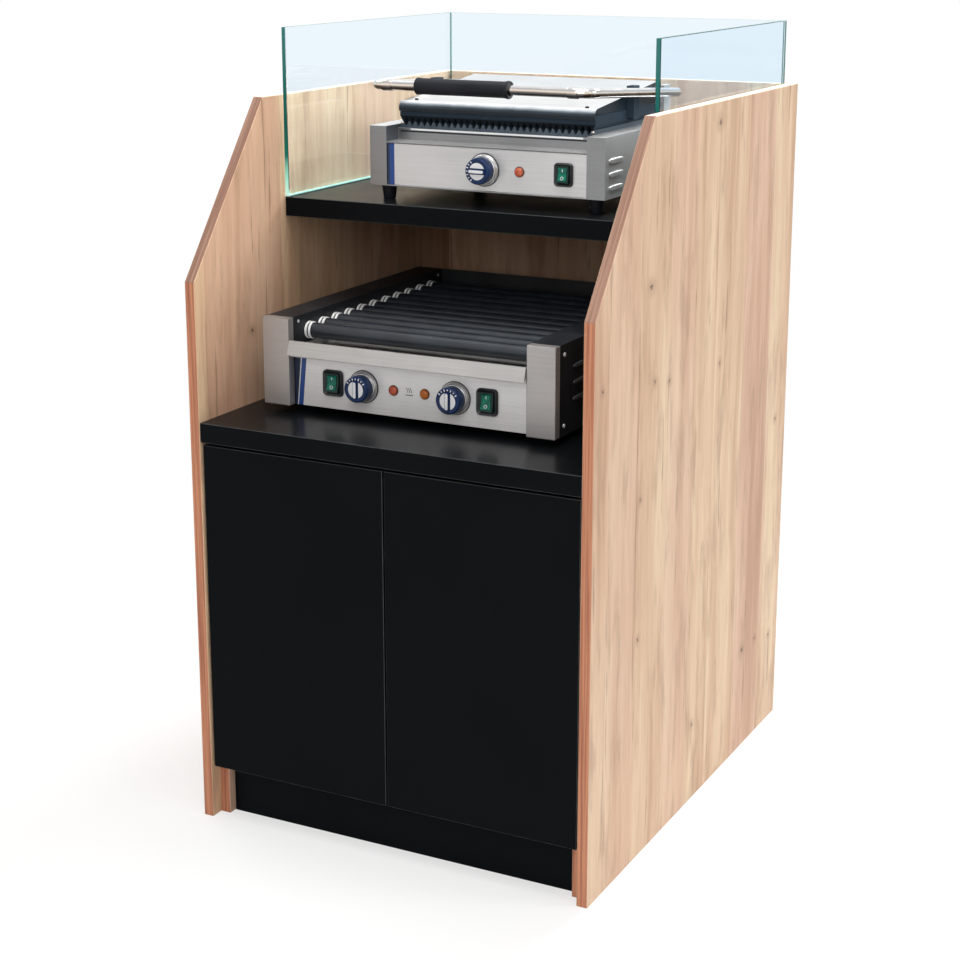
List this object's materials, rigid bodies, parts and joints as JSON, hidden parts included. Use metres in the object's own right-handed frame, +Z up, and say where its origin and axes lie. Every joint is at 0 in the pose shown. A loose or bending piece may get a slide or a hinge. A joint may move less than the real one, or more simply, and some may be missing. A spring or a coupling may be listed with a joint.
{
  "type": "hot dog counter",
  "caption": "Free-standing decor-board counter with a double-door cupboard, a roller grill on its worktop and a contact grill on a glass-guarded upper shelf.",
  "frame": {"origin": "on the floor below the middle of the counter", "axes": "+Z up, -Y out of the doors towards the server, +X to the right seen from the front"},
  "size_m": [0.7, 0.858, 1.281],
  "materials": {
    "oak": "light oak decor, satin",
    "black_board": "black decor, satin",
    "glass": "clear float glass, polished green edges",
    "zinc": "zinc plated steel",
    "stainless": "brushed stainless sheet",
    "black_steel": "black powder coat",
    "roller_coating": "black non-stick coating",
    "cast_iron": "black enamelled casting",
    "chrome": "polished chrome",
    "rubber": "matt black",
    "blue_plastic": "blue moulded plastic with a metal ring",
    "green_plastic": "translucent green plastic",
    "amber_lens": "translucent amber plastic"
  },
  "bodies": {
    "root": {"left_side_panel": "oak", "right_side_panel": "oak", "left_carcass_side": "oak", "right_carcass_side": "oak", "back_panel": "oak", "plinth_board": "black_board", "cupboard_floor": "black_board", "worktop": "black_board", "upper_shelf": "black_board", "left_glass": "glass", "right_glass": "glass", "back_glass": "glass", "left_upper_hinge": "zinc", "left_lower_hinge": "zinc", "right_upper_hinge": "zinc", "right_lower_hinge": "zinc", "drive_chain": "zinc", "gear_motor": "zinc", "roller_grill_left_cap": "stainless", "roller_grill_right_cap": "stainless", "roller_grill_panel": "stainless", "contact_grill_body": "stainless", "contact_grill_panel": "stainless", "roller_grill_base": "black_steel", "roller_grill_left_housing": "black_steel", "roller_grill_right_housing": "black_steel", "lower_plate": "cast_iron", "contact_grill_foot_1": "rubber", "contact_grill_foot_2": "rubber", "contact_grill_foot_3": "rubber", "contact_grill_foot_4": "rubber", "roller_grill_left_lamp": "amber_lens", "roller_grill_right_lamp": "amber_lens", "contact_grill_lamp": "amber_lens"},
    "left_door": {"left_door": "black_board"},
    "right_door": {"right_door": "black_board"},
    "drip_tray": {"drip_tray": "stainless"},
    "drive_sprocket": {"drive_sprocket": "zinc"},
    "handle": {"handle_bar": "chrome", "handle_grip": "rubber"},
    "lid": {"upper_plate": "cast_iron", "lid_cover": "stainless"},
    "roller_grill_left_knob": {"roller_grill_left_knob": "blue_plastic"},
    "roller_grill_right_knob": {"roller_grill_right_knob": "blue_plastic"},
    "contact_grill_knob": {"contact_grill_knob": "blue_plastic"},
    "roller_grill_left_rocker": {"roller_grill_left_rocker": "green_plastic"},
    "roller_grill_right_rocker": {"roller_grill_right_rocker": "green_plastic"},
    "contact_grill_rocker": {"contact_grill_rocker": "green_plastic"},
    "roller_01": {"roller_01": "roller_coating"},
    "roller_02": {"roller_02": "roller_coating"},
    "roller_03": {"roller_03": "roller_coating"},
    "roller_04": {"roller_04": "roller_coating"},
    "roller_05": {"roller_05": "roller_coating"},
    "roller_06": {"roller_06": "roller_coating"},
    "roller_07": {"roller_07": "roller_coating"},
    "roller_08": {"roller_08": "roller_coating"},
    "roller_09": {"roller_09": "roller_coating"},
    "roller_10": {"roller_10": "roller_coating"},
    "roller_11": {"roller_11": "roller_coating"}
  },
  "joints": [
    {"name": "left_door_swing", "type": "hinge", "parent": "root", "child": "left_door", "pos_m": [-0.329, -0.425, 0.3655], "axis": [0, 0, -1], "range_deg": [0, 100]},
    {"name": "right_door_swing", "type": "hinge", "parent": "root", "child": "right_door", "pos_m": [0.329, -0.425, 0.3655], "axis": [0, 0, 1], "range_deg": [0, 100]},
    {"name": "drip_tray_slide", "type": "slide", "parent": "root", "child": "drip_tray", "axis": [0, -1, 0], "range_m": [0, 0.3]},
    {"name": "roller_01_spin", "type": "hinge", "parent": "root", "child": "roller_01", "pos_m": [-0.0265, -0.2495, 0.805], "axis": [1, 0, 0], "continuous": true},
    {"name": "roller_02_spin", "type": "hinge", "parent": "root", "child": "roller_02", "pos_m": [-0.0265, -0.2088, 0.805], "axis": [1, 0, 0], "continuous": true},
    {"name": "roller_03_spin", "type": "hinge", "parent": "root", "child": "roller_03", "pos_m": [-0.0265, -0.1681, 0.805], "axis": [1, 0, 0], "continuous": true},
    {"name": "roller_04_spin", "type": "hinge", "parent": "root", "child": "roller_04", "pos_m": [-0.0265, -0.1274, 0.805], "axis": [1, 0, 0], "continuous": true},
    {"name": "roller_05_spin", "type": "hinge", "parent": "root", "child": "roller_05", "pos_m": [-0.0265, -0.0867, 0.805], "axis": [1, 0, 0], "continuous": true},
    {"name": "roller_06_spin", "type": "hinge", "parent": "root", "child": "roller_06", "pos_m": [-0.0265, -0.046, 0.805], "axis": [1, 0, 0], "continuous": true},
    {"name": "roller_07_spin", "type": "hinge", "parent": "root", "child": "roller_07", "pos_m": [-0.0265, -0.0053, 0.805], "axis": [1, 0, 0], "continuous": true},
    {"name": "roller_08_spin", "type": "hinge", "parent": "root", "child": "roller_08", "pos_m": [-0.0265, 0.0354, 0.805], "axis": [1, 0, 0], "continuous": true},
    {"name": "roller_09_spin", "type": "hinge", "parent": "root", "child": "roller_09", "pos_m": [-0.0265, 0.0761, 0.805], "axis": [1, 0, 0], "continuous": true},
    {"name": "roller_10_spin", "type": "hinge", "parent": "root", "child": "roller_10", "pos_m": [-0.0265, 0.1168, 0.805], "axis": [1, 0, 0], "continuous": true},
    {"name": "roller_11_spin", "type": "hinge", "parent": "root", "child": "roller_11", "pos_m": [-0.0265, 0.1575, 0.805], "axis": [1, 0, 0], "continuous": true},
    {"name": "drive_sprocket_spin", "type": "hinge", "parent": "root", "child": "drive_sprocket", "pos_m": [-0.0265, -0.046, 0.723], "axis": [1, 0, 0], "continuous": true},
    {"name": "roller_grill_left_knob_turn", "type": "hinge", "parent": "root", "child": "roller_grill_left_knob", "pos_m": [-0.1085, -0.2935, 0.733], "axis": [0, 1, 0], "range_deg": [0, 280]},
    {"name": "roller_grill_left_rocker_tilt", "type": "hinge", "parent": "root", "child": "roller_grill_left_rocker", "pos_m": [-0.1645, -0.2935, 0.733], "axis": [1, 0, 0], "range_deg": [0, 18]},
    {"name": "roller_grill_right_knob_turn", "type": "hinge", "parent": "root", "child": "roller_grill_right_knob", "pos_m": [0.0555, -0.2935, 0.733], "axis": [0, 1, 0], "range_deg": [0, 280]},
    {"name": "roller_grill_right_rocker_tilt", "type": "hinge", "parent": "root", "child": "roller_grill_right_rocker", "pos_m": [0.1115, -0.2935, 0.733], "axis": [1, 0, 0], "range_deg": [0, 18]},
    {"name": "contact_grill_knob_turn", "type": "hinge", "parent": "root", "child": "contact_grill_knob", "pos_m": [0.019, -0.1245, 1.065], "axis": [0, 1, 0], "range_deg": [0, 280]},
    {"name": "contact_grill_rocker_tilt", "type": "hinge", "parent": "root", "child": "contact_grill_rocker", "pos_m": [0.158, -0.1245, 1.065], "axis": [1, 0, 0], "range_deg": [0, 18]},
    {"name": "handle_lift", "type": "hinge", "parent": "root", "child": "handle", "pos_m": [0.019, 0.201, 1.17], "axis": [-1, 0, 0], "range_deg": [0, 65]},
    {"name": "lid_tilt", "type": "hinge", "parent": "handle", "child": "lid", "pos_m": [0.019, 0.05, 1.18047], "axis": [-1, 0, 0], "range_deg": [-10, 0]}
  ],
  "couplings": [
    {"joint": "roller_02_spin", "follows": "roller_01_spin", "ratio": 1},
    {"joint": "roller_03_spin", "follows": "roller_01_spin", "ratio": 1},
    {"joint": "roller_04_spin", "follows": "roller_01_spin", "ratio": 1},
    {"joint": "roller_05_spin", "follows": "roller_01_spin", "ratio": 1},
    {"joint": "roller_06_spin", "follows": "roller_01_spin", "ratio": 1},
    {"joint": "roller_07_spin", "follows": "roller_01_spin", "ratio": 1},
    {"joint": "roller_08_spin", "follows": "roller_01_spin", "ratio": 1},
    {"joint": "roller_09_spin", "follows": "roller_01_spin", "ratio": 1},
    {"joint": "roller_10_spin", "follows": "roller_01_spin", "ratio": 1},
    {"joint": "roller_11_spin", "follows": "roller_01_spin", "ratio": 1},
    {"joint": "drive_sprocket_spin", "follows": "roller_01_spin", "ratio": 1},
    {"joint": "lid_tilt", "follows": "handle_lift", "ratio": -0.15}
  ]
}
